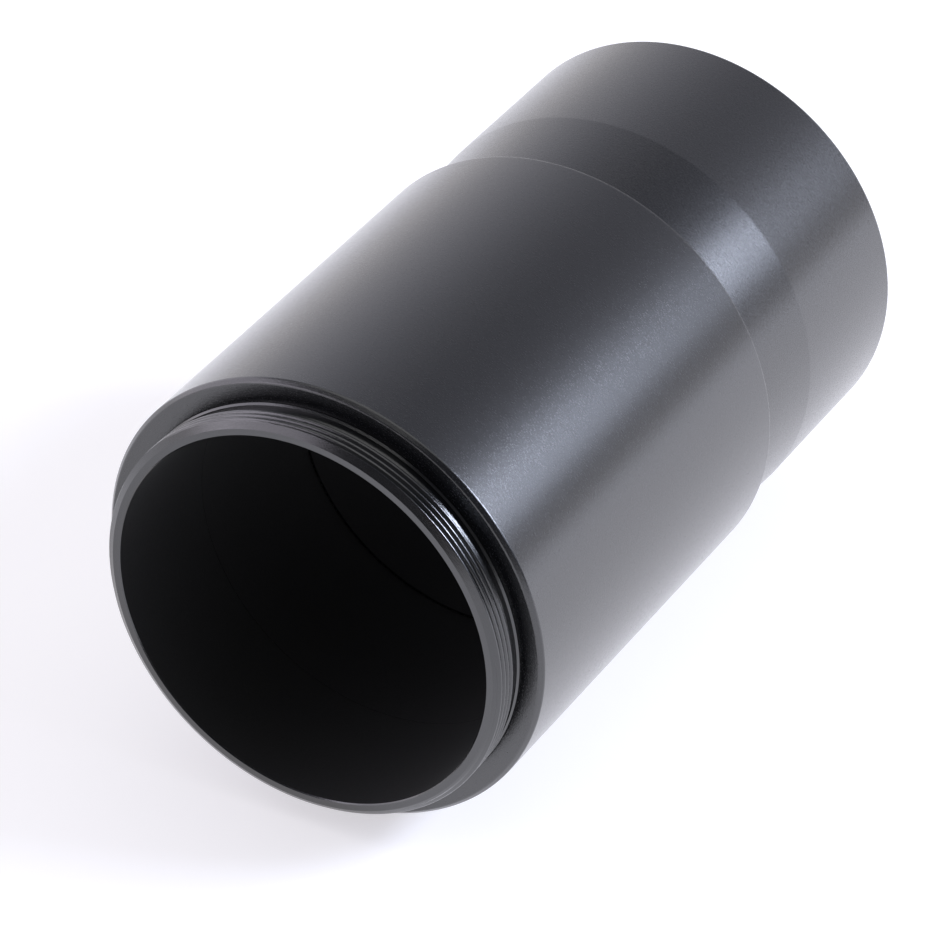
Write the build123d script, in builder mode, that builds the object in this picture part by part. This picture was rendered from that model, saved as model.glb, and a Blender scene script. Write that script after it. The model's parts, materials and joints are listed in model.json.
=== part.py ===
from build123d import *
import os

# Telescope camera adapter: three turned aluminium pieces on one optical axis.
# The optical axis is Y. The camera thread points along -Y and the nosepiece along +Y.
# The origin is on the axis, in the plane of the shoulder that a camera ring seats against.
# All sizes are millimetres.

# Camera thread, M48 x 0.75, on the front of the camera ring
camera_thread_diameter = 47.85
camera_thread_pitch = 0.75
thread_height_per_pitch = 0.6134
collar_length = 4.5
collar_face_width = 0.85
thread_lead_length = 0.45
relief_width = 1.25
pilot_height = 0.35
relief_extra_depth = 0.12
pilot_edge_chamfer = 0.2

# Camera ring, inside the barrel
ring_wall = 1.65
ring_mouth_chamfer = 0.12
ring_socket_depth = 12.0
ring_spigot_undersize = 0.075
ring_spigot_chamfer = 0.25
ring_bore_chamfer = 0.06

# Fits between the screwed pieces
screw_clearance = 0.05
seat_gap = 0.05
floor_gap = 0.1

# Barrel
barrel_length = 52.0
barrel_wall = 2.55
barrel_rim_chamfer = 0.45
pilot_bore_chamfer = 0.05
rear_mouth_chamfer = 0.3
land_edge_chamfer = 0.06
seat_recess_depth = 0.4
seat_recess_clearance = 0.2

# Nosepiece, 2 inch
nosepiece_diameter = 50.8
neck_length = 11.55
tail_length = 20.2
undercut_depth = 0.7
seat_width = 0.8
nosepiece_socket_depth = 19.8
nosepiece_wall = 3.25
tail_end_chamfer = 0.4
nose_spigot_chamfer = 0.25
nose_bore_chamfer = 0.06

# Filter thread, M48 x 0.75, inside the tail
filter_wall = 1.806
filter_thread_length = 4.4
filter_relief_width = 0.9
filter_relief_depth = 0.5
filter_mouth_chamfer = 0.45

# Radii
thread_radius = camera_thread_diameter / 2
thread_height = thread_height_per_pitch * camera_thread_pitch
ring_bore_radius = thread_radius - ring_wall
collar_face_radius = ring_bore_radius + collar_face_width
relief_radius = thread_radius - thread_height - relief_extra_depth
ring_spigot_radius = thread_radius - ring_spigot_undersize
tail_radius = nosepiece_diameter / 2
neck_radius = tail_radius - undercut_depth
nose_spigot_radius = neck_radius - seat_width
nose_bore_radius = tail_radius - nosepiece_wall
filter_radius = tail_radius - filter_wall
filter_relief_radius = filter_radius + filter_relief_depth
front_socket_radius = ring_spigot_radius + screw_clearance
rear_socket_radius = nose_spigot_radius + screw_clearance
seat_recess_radius = neck_radius + seat_recess_clearance
barrel_radius = max(front_socket_radius, rear_socket_radius) + barrel_wall

# Stations along the optical axis
barrel_front = 0.0
front_face = barrel_front - collar_length
relief_back = barrel_front - pilot_height
relief_front = relief_back - relief_width
ring_end = barrel_front + ring_socket_depth - seat_gap
front_socket_floor = barrel_front + ring_socket_depth
barrel_back = barrel_front + barrel_length
rear_socket_floor = barrel_back - nosepiece_socket_depth
seat_recess_floor = barrel_back - seat_recess_depth
nose_shoulder = seat_recess_floor + seat_gap
nose_spigot_end = rear_socket_floor + floor_gap
neck_end = barrel_back + neck_length
tail_end = neck_end + tail_length
filter_thread_start = tail_end - filter_thread_length
filter_relief_start = filter_thread_start - filter_relief_width

os.makedirs("parts", exist_ok=True)


def rims(part, radius, station):
    """Round edges of a turned part with this radius at this place on the axis."""
    tolerance = 1e-3
    return (
        part.edges()
        .filter_by(GeomType.CIRCLE)
        .filter_by(lambda edge: abs(edge.radius - radius) < tolerance)
        .filter_by(lambda edge: abs(edge.arc_center.Y - station) < tolerance)
    )


# Camera ring: the threaded collar and the spigot that holds it in the barrel
with BuildPart() as camera_ring:
    with BuildSketch(Plane.XY):
        with BuildLine():
            Polyline(
                (ring_bore_radius, front_face),
                (collar_face_radius, front_face),
                (thread_radius, front_face + thread_lead_length),
                (thread_radius, relief_front),
                (relief_radius, relief_front),
                (relief_radius, relief_back),
                (ring_spigot_radius, relief_back),
                (ring_spigot_radius, ring_end),
                (ring_bore_radius, ring_end),
                close=True,
            )
        make_face()
    revolve(axis=Axis.Y)
    chamfer(rims(camera_ring, ring_bore_radius, front_face), length=ring_mouth_chamfer)
    chamfer(rims(camera_ring, ring_spigot_radius, relief_back), length=pilot_edge_chamfer)
    chamfer(rims(camera_ring, ring_spigot_radius, ring_end), length=ring_spigot_chamfer)
    chamfer(rims(camera_ring, ring_bore_radius, ring_end), length=ring_bore_chamfer)

# Barrel: the tube, with a socket in each end, a land between them, and a shallow recess
# in the rear face that the nosepiece's shoulder seats in
with BuildPart() as barrel:
    with BuildSketch(Plane.XY):
        with BuildLine():
            Polyline(
                (front_socket_radius, barrel_front),
                (barrel_radius, barrel_front),
                (barrel_radius, barrel_back),
                (seat_recess_radius, barrel_back),
                (seat_recess_radius, seat_recess_floor),
                (rear_socket_radius, seat_recess_floor),
                (rear_socket_radius, rear_socket_floor),
                (ring_bore_radius, rear_socket_floor),
                (ring_bore_radius, front_socket_floor),
                (front_socket_radius, front_socket_floor),
                close=True,
            )
        make_face()
    revolve(axis=Axis.Y)
    for station in (barrel_front, barrel_back):
        chamfer(rims(barrel, barrel_radius, station), length=barrel_rim_chamfer)
    chamfer(rims(barrel, front_socket_radius, barrel_front), length=pilot_bore_chamfer)
    chamfer(rims(barrel, rear_socket_radius, seat_recess_floor), length=rear_mouth_chamfer)
    chamfer(rims(barrel, ring_bore_radius, front_socket_floor), length=land_edge_chamfer)

# Nosepiece: the spigot, the tapered neck and the tail that slides into the focuser
with BuildPart() as nosepiece:
    with BuildSketch(Plane.XY):
        with BuildLine():
            Polyline(
                (nose_bore_radius, nose_spigot_end),
                (nose_spigot_radius, nose_spigot_end),
                (nose_spigot_radius, nose_shoulder),
                (neck_radius, nose_shoulder),
                (tail_radius, neck_end),
                (tail_radius, tail_end),
                (filter_radius, tail_end),
                (filter_radius, filter_thread_start),
                (filter_relief_radius, filter_thread_start),
                (filter_relief_radius, filter_relief_start),
                (nose_bore_radius, filter_relief_start),
                close=True,
            )
        make_face()
    revolve(axis=Axis.Y)
    chamfer(rims(nosepiece, tail_radius, tail_end), length=tail_end_chamfer)
    chamfer(rims(nosepiece, filter_radius, tail_end), length=filter_mouth_chamfer)
    chamfer(rims(nosepiece, nose_spigot_radius, nose_spigot_end), length=nose_spigot_chamfer)
    chamfer(rims(nosepiece, nose_bore_radius, nose_spigot_end), length=nose_bore_chamfer)

camera_ring.part.label = "camera_ring"
barrel.part.label = "barrel"
nosepiece.part.label = "nosepiece"

export_step(camera_ring.part, "parts/camera_ring.step")
export_step(barrel.part, "parts/barrel.step")
export_step(nosepiece.part, "parts/nosepiece.step")
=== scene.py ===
import json
import math
import bmesh
import bpy
from mathutils import Euler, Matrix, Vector


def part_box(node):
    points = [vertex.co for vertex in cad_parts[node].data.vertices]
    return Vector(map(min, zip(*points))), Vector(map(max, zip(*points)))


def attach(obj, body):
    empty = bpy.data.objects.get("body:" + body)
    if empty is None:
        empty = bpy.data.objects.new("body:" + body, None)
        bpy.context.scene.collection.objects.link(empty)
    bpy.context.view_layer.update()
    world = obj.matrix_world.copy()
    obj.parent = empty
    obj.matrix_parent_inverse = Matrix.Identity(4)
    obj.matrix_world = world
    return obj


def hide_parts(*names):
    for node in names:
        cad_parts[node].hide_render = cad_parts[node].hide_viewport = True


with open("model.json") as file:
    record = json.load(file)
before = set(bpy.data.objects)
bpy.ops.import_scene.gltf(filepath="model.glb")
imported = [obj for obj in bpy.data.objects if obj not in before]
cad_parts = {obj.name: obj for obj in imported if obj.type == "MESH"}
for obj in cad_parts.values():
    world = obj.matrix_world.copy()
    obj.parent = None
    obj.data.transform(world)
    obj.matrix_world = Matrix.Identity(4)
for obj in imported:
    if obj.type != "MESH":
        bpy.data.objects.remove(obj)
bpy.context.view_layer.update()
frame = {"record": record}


# Camera ring: a short ring of black anodised aluminium, turned on a lathe. Its front carries the
# male M48 x 0.75 camera thread, and its back is a threaded spigot that screws into the barrel.
# Each thread is one helix, cut by a single point tool, with a lead chamfer and a relief groove.
mm = 0.001
near = 0.001 * mm
cut_reach = 0.0001 * mm
cad_margin = 0.0002 * mm
lathe_steps = 256
spin_parts = 16
ring_low, ring_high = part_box("camera_ring")
barrel_low, barrel_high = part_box("barrel")
mounts = {mount["name"]: mount for mount in frame["record"]["mounts"]}
bore_radius = mounts["light_path"]["dims"]["r_mm"] * mm
thread_radius = mounts["camera_thread"]["dims"]["r_mm"] * mm

thread_pitch = 0.75 * mm
thread_depth = 0.41 * mm
flank_angle = math.radians(30)
crest_flat = 0.26 * mm
crest_round = 0.12 * mm
camera_thread_lag = 0.69 * mm
collar_face_width = 0.85 * mm
mouth_chamfer = 0.12 * mm
lead_length = 0.45 * mm
relief_front = -1.6 * mm
relief_back = -0.35 * mm
relief_extra_depth = 0.12 * mm
relief_cone = (23.27 * mm, 23.5 * mm, -0.8 * mm)
pilot_chamfer = 0.2 * mm
spigot_undersize = 0.075 * mm
spigot_relief = (0.9 * mm, 1.4 * mm)
spigot_lead = 0.5 * mm
bore_edge = 0.03 * mm
edge_round = 0.13 * mm
room_for_round = 2.2
flat_ring = 0.9999
thread_corner = 20


def everything(mesh):
    """All vertices, edges and faces that the mesh has now."""
    return mesh.verts[:] + mesh.edges[:] + mesh.faces[:]


def spin_round(mesh, geom, pitch=0.0):
    """Spins an outline once round the axis while it moves on by the pitch. The first sixteenth is
    spun step by step, and its copies make up the rest."""
    old = set(everything(mesh)) - set(geom)
    bmesh.ops.spin(mesh, geom=geom, cent=(0, 0, 0), axis=(0, 1, 0), angle=math.tau / spin_parts,
                   dvec=(0, pitch / lathe_steps, 0), steps=lathe_steps // spin_parts)
    part = [g for g in everything(mesh) if g not in old]
    copies = spin_parts - 1
    bmesh.ops.spin(mesh, geom=part, cent=(0, 0, 0), axis=(0, 1, 0), angle=math.tau * copies / spin_parts,
                   dvec=(0, pitch / spin_parts, 0), steps=copies, use_duplicate=True)
    bmesh.ops.remove_doubles(mesh, verts=[v for v in mesh.verts if v not in old], dist=near)


def turn(mesh, *outline):
    """A plain stretch, as the lathe tool goes through each radius and station of the outline. Each
    corner that has room for it is broken by a small radius, which catches a thin line of light."""
    old = set(everything(mesh))
    line = [mesh.verts.new((0, station, radius)) for radius, station in outline]
    for pair in zip(line, line[1:]):
        mesh.edges.new(pair)
    room = room_for_round * edge_round
    roomy = [v for v in line[1:-1] if min(e.calc_length() for e in v.link_edges) > room]
    bmesh.ops.bevel(mesh, geom=roomy, offset=edge_round, offset_type="OFFSET", segments=4, profile=0.5,
                    affect="VERTICES", material=-1)
    spin_round(mesh, [g for g in everything(mesh) if g not in old])


def cut_thread(mesh, crest, depth, start, end, lag=0.0, rounding=0.0):
    """A right-hand helical thread from start to end, for a hole where the depth is negative. Each
    tooth meets the next after one turn, and both ends are cut square."""
    old = set(everything(mesh))
    flank = abs(depth) * math.tan(flank_angle)
    root = crest - depth
    tooth_outline = ((root, 0), (crest, flank), (crest, flank + crest_flat), (root, crest_flat + 2 * flank))
    first = start - 2 * thread_pitch - lag
    corners = []
    for tooth in range(math.ceil((end - first) / thread_pitch) + 1):
        here = first + tooth * thread_pitch
        corners += [mesh.verts.new((0, here + along, radius)) for radius, along in tooth_outline]
    for pair in zip(corners, corners[1:]):
        mesh.edges.new(pair)
    if rounding:
        tips = [v for v in corners if abs(v.co.z - crest) < near]
        bmesh.ops.bevel(mesh, geom=tips, offset=rounding, offset_type="OFFSET", segments=4, profile=0.5,
                        affect="VERTICES", material=-1)
    spin_round(mesh, [g for g in everything(mesh) if g not in old], thread_pitch)
    for station, side in ((start, -1), (end, 1)):
        band = [g for g in everything(mesh) if g not in old]
        bmesh.ops.bisect_plane(mesh, geom=band, dist=cut_reach, plane_co=(0, station, 0),
                               plane_no=(0, side, 0), clear_outer=True)
    return [v for v in mesh.verts if v not in old]


def trim_lead(verts, station, radius, side, slope=1.0):
    """A chamfer over the thread's end: no point stands out of the cone that has this radius at this
    station. The side is 1 for a male thread, and -1 for a female one."""
    for v in verts:
        limit = radius + side * slope * abs(v.co.y - station)
        here = math.hypot(v.co.x, v.co.z)
        if side * here > side * limit:
            v.co.x, v.co.z = v.co.x * limit / here, v.co.z * limit / here


def face_off(mesh, *stations):
    """Closes the flat ring between the two open loops at each of these stations."""
    for station in stations:
        open_edges = [e for e in mesh.edges if e.is_boundary]
        rims = [e for e in open_edges if all(abs(v.co.y - station) < near for v in e.verts)]
        bmesh.ops.triangle_fill(mesh, edges=rims, normal=(0, 1, 0), use_beauty=True)


def finish_turning(mesh, name, material, node, body, corner=2.5):
    """Makes the closed mesh a piece: normals out, smooth round the axis and crisp at each corner,
    which is an edge that bends by more than this many degrees. Flat rings stay flat, and the bore's
    wall takes the matt finish."""
    bmesh.ops.recalc_face_normals(mesh, faces=mesh.faces)
    for face in mesh.faces:
        face.smooth = abs(face.normal.y) < flat_ring
        reach = max(math.hypot(v.co.x, v.co.z) for v in face.verts)
        face.material_index = int(reach < bore_radius + 2 * bore_edge)
    for edge in mesh.edges:
        edge.smooth = edge.calc_face_angle(math.pi) < math.radians(corner)
    data = bpy.data.meshes.new(name)
    mesh.to_mesh(data)
    mesh.free()
    data.materials.append(material)
    data.materials.append(bore_black)
    piece = bpy.data.objects.new(name, data)
    bpy.context.scene.collection.objects.link(piece)
    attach(piece, body)
    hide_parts(node)


def linear(hex_colour):
    """An sRGB hex colour as the linear red, green, blue and alpha that a shader takes."""
    channels = [int(hex_colour[i:i + 2], 16) / 255 for i in (0, 2, 4)]
    return [c / 12.92 if c <= 0.04045 else ((c + 0.055) / 1.055) ** 2.4 for c in channels] + [1]


def add_node(tree, kind, settings, **inputs):
    """Adds a node, gives it its settings, and sets or links each input that is named or numbered."""
    node = tree.nodes.new(kind)
    for name, value in settings.items():
        setattr(node, name, value)
    for key, value in inputs.items():
        socket = node.inputs[int(key[1:]) if key[0] == "_" else key.replace("_", " ")]
        if isinstance(value, bpy.types.NodeSocket):
            tree.links.new(value, socket)
        else:
            socket.default_value = value
    return node


def black_anodise(name, colour, roughness, gloss, streak_depth):
    """Aluminium under a clear oxide skin that is dyed black. The eye gets a grey gloss with no colour
    of the metal, broken by a fine speckle that is drawn out round the tube, as the lathe left it. The
    gloss is 0.5 for a clean skin, and less for a dull one."""
    material = bpy.data.materials.new(name)
    material.use_nodes = True
    tree = material.node_tree
    shader = tree.nodes["Principled BSDF"]
    shader.inputs["Base Color"].default_value = linear(colour)
    shader.inputs["Metallic"].default_value = 0
    shader.inputs["IOR"].default_value = oxide_ior
    shader.inputs["Specular IOR Level"].default_value = gloss
    place = add_node(tree, "ShaderNodeTexCoord", {}).outputs["Object"]
    radial = add_node(tree, "ShaderNodeVectorMath", {"operation": "MULTIPLY"}, _0=place,
                      _1=(1, 0, 1)).outputs[0]
    unit = add_node(tree, "ShaderNodeVectorMath", {"operation": "NORMALIZE"}, _0=radial).outputs[0]
    radius = add_node(tree, "ShaderNodeVectorMath", {"operation": "LENGTH"}, _0=radial).outputs["Value"]
    station = add_node(tree, "ShaderNodeSeparateXYZ", {}, _0=place).outputs["Y"]
    across = add_node(tree, "ShaderNodeMath", {"operation": "ADD"}, _0=radius, _1=station).outputs[0]
    across = add_node(tree, "ShaderNodeMath", {"operation": "DIVIDE"}, _0=across, _1=streak_width).outputs[0]
    across = add_node(tree, "ShaderNodeCombineXYZ", {}, Y=across).outputs[0]
    streak_place = add_node(tree, "ShaderNodeVectorMath", {"operation": "MULTIPLY_ADD"}, _0=unit,
                            _1=(thread_radius / streak_length,) * 3, _2=across).outputs[0]
    streaks = add_node(tree, "ShaderNodeTexNoise", {}, Vector=streak_place, Scale=1.0, Detail=2.0,
                       Roughness=0.6).outputs[0]
    finish = add_node(tree, "ShaderNodeMapRange", {}, Value=streaks, _1=streak_range[0], _2=streak_range[1],
                      _3=roughness - roughness_spread, _4=roughness + roughness_spread).outputs[0]
    dents = add_node(tree, "ShaderNodeBump", {}, Height=streaks, Strength=streak_depth, Distance=dent_depth)
    tree.links.new(finish, shader.inputs["Roughness"])
    tree.links.new(dents.outputs[0], shader.inputs["Normal"])
    return material


# The real grain is finer than a tenth of a millimetre. It is drawn coarser here, so that it shows.
streak_length = 0.32 * mm
streak_width = 0.11 * mm
streak_range = (0.3, 0.7)
dent_depth = 0.02 * mm
roughness_spread = 0.035
oxide_ior = 1.8
black_dye = "0a0b0e"
ring_black = black_anodise("black_anodised_aluminium_turned", black_dye, 0.19, 0.5, 0.5)
bore_black = black_anodise("black_anodised_aluminium_matt", "050507", 0.95, 0.3, 0.3)

mesh = bmesh.new()
front_face = ring_low.y + cad_margin
ring_end = ring_high.y
collar_face_radius = bore_radius + collar_face_width
lead_slope = (thread_radius - collar_face_radius) / lead_length
spigot_radius = thread_radius - spigot_undersize
relief_radius = thread_radius - thread_depth - relief_extra_depth
camera_band = cut_thread(mesh, thread_radius, thread_depth, front_face, relief_front, camera_thread_lag,
                         crest_round)
trim_lead(camera_band, front_face, collar_face_radius, 1, lead_slope)
spigot_start = spigot_relief[1]
spigot_band = cut_thread(mesh, spigot_radius, thread_depth, spigot_start, ring_end)
trim_lead(spigot_band, ring_end, spigot_radius - spigot_lead, 1)
turn(mesh, (relief_cone[0], relief_front), relief_cone[1:], (relief_cone[1], relief_back),
     (spigot_radius - pilot_chamfer, relief_back), (spigot_radius, relief_back + pilot_chamfer),
     (spigot_radius, spigot_relief[0]), (relief_radius, spigot_relief[0]), (relief_radius, spigot_start))
turn(mesh, (bore_radius + mouth_chamfer, front_face), (bore_radius, front_face + mouth_chamfer),
     (bore_radius, ring_end - bore_edge), (bore_radius + bore_edge, ring_end))
face_off(mesh, front_face, relief_front, spigot_start, ring_end)
finish_turning(mesh, "threaded_camera_ring", ring_black, "camera_ring", "camera_ring",
               corner=thread_corner)


# Barrel: the wide extension tube, turned from aluminium bar and dyed black. Each end has a threaded
# socket, the front for the camera ring and the rear for the nosepiece, with a plain land between.
barrel_radius = barrel_high.z
barrel_end = barrel_high.y
barrel_rim = 0.45 * mm
socket_gap = 0.05 * mm
socket_thread_depth = 0.4 * mm
socket_groove_depth = 0.05 * mm
socket_mouth = 0.3 * mm
socket_runout = 1 * mm
front_floor_gap = 0.02 * mm
rear_floor_gap = 0.01 * mm
pilot_bore_gap = 0.02 * mm
pilot_bore_end = 1.2 * mm
recess_radius = 24.9 * mm
recess_depth = 0.4 * mm
neck_radius = 24.7 * mm
nose_seat_width = 0.8 * mm

barrel_black = black_anodise("black_anodised_aluminium_brushed", black_dye, 0.25, 0.5, 0.5)

mesh = bmesh.new()
nose_low, nose_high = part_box("nosepiece")
seat = barrel_end - recess_depth
nose_spigot = neck_radius - nose_seat_width
front_socket = spigot_radius + socket_gap
rear_socket = nose_spigot + socket_gap
pilot_bore = spigot_radius + pilot_bore_gap
front_floor = ring_end + front_floor_gap
rear_floor = nose_low.y - rear_floor_gap
front_runout = front_floor - socket_runout
rear_runout = rear_floor + socket_runout
cut_thread(mesh, front_socket, -socket_thread_depth, pilot_bore_end, front_runout)
rear_thread = cut_thread(mesh, rear_socket, -socket_thread_depth, rear_runout, seat)
trim_lead(rear_thread, seat, rear_socket + socket_mouth, -1)
turn(mesh, (pilot_bore, pilot_bore_end), (pilot_bore, pilot_bore_gap), (pilot_bore + pilot_bore_gap, 0),
     (barrel_radius - barrel_rim, 0), (barrel_radius, barrel_rim), (barrel_radius, barrel_end - barrel_rim),
     (barrel_radius - barrel_rim, barrel_end), (recess_radius, barrel_end), (recess_radius, seat))
groove = socket_thread_depth + socket_groove_depth
turn(mesh, (front_socket + groove, front_runout), (front_socket + groove, front_floor),
     (bore_radius + bore_edge, front_floor), (bore_radius, front_floor + bore_edge),
     (bore_radius, rear_floor), (rear_socket + groove, rear_floor), (rear_socket + groove, rear_runout))
face_off(mesh, pilot_bore_end, seat, front_runout, rear_runout)
finish_turning(mesh, "extension_barrel", barrel_black, "barrel", "barrel")


# Nosepiece: the 2 inch tube that slides into the focuser, one turned and black anodised piece. The
# taper of its neck keeps it from dropping out when the clamp screws are loosened, and the tail has
# the female M48 x 0.75 thread that filters screw into.
tail_radius = nose_high.z
tail_end = nose_high.y
tail_wall = 3.25 * mm
tail_chamfer = 0.4 * mm
neck_end = 63.55 * mm
neck_runout = 1.2 * mm
seat_gap = 0.05 * mm
nose_edge = 0.11 * mm
filter_radius = mounts["filter_thread"]["dims"]["r_mm"] * mm
filter_mouth = 0.45 * mm
filter_depth = 0.406 * mm
filter_length = 4.4 * mm
filter_groove_width = 0.9 * mm
filter_groove_depth = 0.5 * mm

nosepiece_black = black_anodise("black_anodised_aluminium_sliding", black_dye, 0.27, 0.5, 0.5)

mesh = bmesh.new()
nose_shoulder = seat + seat_gap
shank_end = nose_shoulder - neck_runout
neck_relief = nose_spigot - thread_depth - relief_extra_depth
nose_bore = tail_radius - tail_wall
filter_start = tail_end - filter_length
filter_relief = filter_start - filter_groove_width
filter_groove = filter_radius + filter_groove_depth
nose_thread = cut_thread(mesh, nose_spigot, thread_depth, nose_low.y, shank_end)
trim_lead(nose_thread, nose_low.y, nose_spigot - spigot_lead, 1)
filter_thread = cut_thread(mesh, filter_radius, -filter_depth, filter_start, tail_end)
trim_lead(filter_thread, tail_end, filter_radius + filter_mouth, -1)
turn(mesh, (neck_relief, shank_end), (neck_relief, nose_shoulder), (neck_radius, nose_shoulder),
     (tail_radius, neck_end), (tail_radius, tail_end - tail_chamfer), (tail_radius - tail_chamfer, tail_end))
turn(mesh, (nose_bore + nose_edge, nose_low.y), (nose_bore, nose_low.y + nose_edge),
     (nose_bore, filter_relief), (filter_groove, filter_relief), (filter_groove, filter_start))
face_off(mesh, shank_end, nose_low.y, tail_end, filter_start)
finish_turning(mesh, "focuser_nosepiece", nosepiece_black, "nosepiece", "nosepiece")


# Table: a plain white sheet that the adapter lies on. It is lit by the lamps, and glows a little to
# the eye and in reflections, so that it reads as white paper and keeps the soft shadow. Mirrored in
# the tube it is dimmer at the front, where the photo's table darkens.
table_size = 6000 * mm
paper_colour = (0.57, 0.57, 0.57, 1)
paper_tint = (1, 0.975, 1.02, 1)
paper_glow = 0.56
mirrored_glow = (0.65, 1.0)
mirrored_reach = (-50 * mm, 30 * mm)

mesh = bmesh.new()
bmesh.ops.create_grid(mesh, x_segments=1, y_segments=1, size=table_size / 2)
bmesh.ops.translate(mesh, verts=mesh.verts, vec=(0, 0, barrel_low.z))
data = bpy.data.meshes.new("white_table")
mesh.to_mesh(data)
mesh.free()
table = bpy.data.objects.new("white_table", data)
bpy.context.scene.collection.objects.link(table)
paper = bpy.data.materials.new("matt_white_paper")
paper.use_nodes = True
tree = paper.node_tree
sheet = tree.nodes["Principled BSDF"]
sheet.inputs["Base Color"].default_value = paper_colour
sheet.inputs["Roughness"].default_value = 1
sheet.inputs["Specular IOR Level"].default_value = 0
rays = add_node(tree, "ShaderNodeLightPath", {}).outputs
mirrored = add_node(tree, "ShaderNodeMath", {"operation": "ADD"}, _0=rays["Is Glossy Ray"],
                    _1=rays["Is Transmission Ray"]).outputs[0]
seen = add_node(tree, "ShaderNodeMath", {"operation": "MULTIPLY"}, _0=rays["Is Camera Ray"],
                _1=paper_glow).outputs[0]
place = add_node(tree, "ShaderNodeTexCoord", {}).outputs["Object"]
depth = add_node(tree, "ShaderNodeSeparateXYZ", {}, _0=place).outputs["Y"]
# Painted reflection: the table's glow that reflections see fades towards the front, a painted shade over the
# evenly white sheet.
painted_reflection_level = add_node(tree, "ShaderNodeMapRange", {}, Value=depth, _1=mirrored_reach[0], _2=mirrored_reach[1],
                 _3=mirrored_glow[0], _4=mirrored_glow[1]).outputs[0]
glow = add_node(tree, "ShaderNodeMath", {"operation": "MULTIPLY_ADD"}, _0=mirrored, _1=painted_reflection_level,
                _2=seen).outputs[0]
emission = add_node(tree, "ShaderNodeEmission", {}, Color=paper_tint, Strength=glow)
both = add_node(tree, "ShaderNodeAddShader", {}, _0=sheet.outputs[0], _1=emission.outputs[0])
tree.links.new(both.outputs[0], tree.nodes["Material Output"].inputs["Surface"])
data.materials.append(paper)


# Studio light: six softboxes, 1.2 m away. Three behind and to the right draw the streak along the
# tube, two to the left lift its other side, and a wide one hangs overhead. The room's walls are
# white low down, fall off to a dark ceiling, and are dim to the front right.
softbox_distance = 1.2
wall_levels = ((0, 1.5), (0.12, 1.2), (0.25, 1.0), (0.36, 0.95), (0.47, 0.75), (0.60, 0.58),
               (0.74, 0.18), (0.86, 0.05))
dim_side = (0.7, -0.71, 0)
dim_from, dim_to = -0.95, 0.5
lit_strength, dim_strength = 1.05, 0.12


def hang_softbox(name, azimuth, elevation, width, height, radiance, colour):
    """An area lamp that faces the adapter from this direction. Its power follows from its size and
    from how bright its face is, where 1 is paper white."""
    lamp = bpy.data.lights.new(name, "AREA")
    lamp.shape = "RECTANGLE"
    lamp.size = width
    lamp.size_y = height
    lamp.energy = radiance * math.pi * width * height
    lamp.color = linear(colour)[:3]
    box = bpy.data.objects.new(name, lamp)
    bpy.context.scene.collection.objects.link(box)
    heading = math.radians(azimuth)
    rise = math.radians(elevation)
    way = Vector((math.sin(heading) * math.cos(rise), math.cos(heading) * math.cos(rise), math.sin(rise)))
    box.location = way * softbox_distance
    box.rotation_euler = way.to_track_quat("Z", "Y").to_euler()


hang_softbox("softbox_right", 60, 34, 0.42, 0.32, 34, "e2eaff")
hang_softbox("softbox_right_low", 52, 25, 0.42, 0.42, 5.2, "dfe9ff")
hang_softbox("softbox_right_far", 82, 30, 0.64, 0.34, 2.9, "dfe9ff")
hang_softbox("softbox_left", -142, 20, 0.7, 0.7, 1.6, "f6f0ff")
hang_softbox("softbox_left_wide", -100, 22, 1.5, 0.8, 1.3, "f6f0ff")
hang_softbox("softbox_overhead", -150, 86, 1.5, 1.5, 0.9, "ffffff")

world = bpy.data.worlds.new("white_room")
bpy.context.scene.world = world
world.use_nodes = True
tree = world.node_tree
background = tree.nodes["Background"]
place = add_node(tree, "ShaderNodeTexCoord", {}).outputs["Generated"]
upward = add_node(tree, "ShaderNodeSeparateXYZ", {}, _0=place).outputs["Z"]
wall = add_node(tree, "ShaderNodeValToRGB", {}, _0=upward)
ramp = wall.color_ramp
for rise, level in wall_levels:
    stop = ramp.elements[0] if rise == 0 else ramp.elements.new(rise)
    stop.position = rise
    # The walls turn a little bluer with height.
    stop.color = (level, level * (0.97 + rise / 15), level * (1.0 + rise / 4), 1)
ramp.elements.remove(ramp.elements[len(ramp.elements) - 1])
level_way = add_node(tree, "ShaderNodeVectorMath", {"operation": "MULTIPLY"}, _0=place,
                     _1=(1, 1, 0)).outputs[0]
level_way = add_node(tree, "ShaderNodeVectorMath", {"operation": "NORMALIZE"}, _0=level_way).outputs[0]
facing = add_node(tree, "ShaderNodeVectorMath", {"operation": "DOT_PRODUCT"}, _0=level_way,
                  _1=dim_side).outputs["Value"]
dimming = add_node(tree, "ShaderNodeMapRange", {}, Value=facing, _1=dim_from, _2=dim_to, _3=lit_strength,
                   _4=dim_strength).outputs[0]
tree.links.new(wall.outputs[0], background.inputs["Color"])
tree.links.new(dimming, background.inputs["Strength"])


# Camera: a long lens on the photo's line of sight, level, with the tube lying across the view. Its
# place, direction and lens are those that fit the outline of the tube and its rims in the photo.
view_azimuth = math.radians(29.604)
view_elevation = math.radians(34.023)
view_distance = 588.47 * mm
aim = Vector((0.996 * mm, 29.947 * mm, -0.729 * mm))
lens_length = 206.39
sensor_width = 36

camera_data = bpy.data.cameras.new("camera")
camera_data.lens = lens_length
camera_data.sensor_width = sensor_width
camera = bpy.data.objects.new("camera", camera_data)
bpy.context.scene.collection.objects.link(camera)
camera.rotation_euler = Euler((math.pi / 2 - view_elevation, 0, view_azimuth))
back = Vector((math.sin(view_azimuth) * math.cos(view_elevation),
               -math.cos(view_azimuth) * math.cos(view_elevation), math.sin(view_elevation)))
camera.location = aim + back * view_distance
bpy.context.scene.camera = camera
bpy.context.scene.view_settings.view_transform = "Standard"
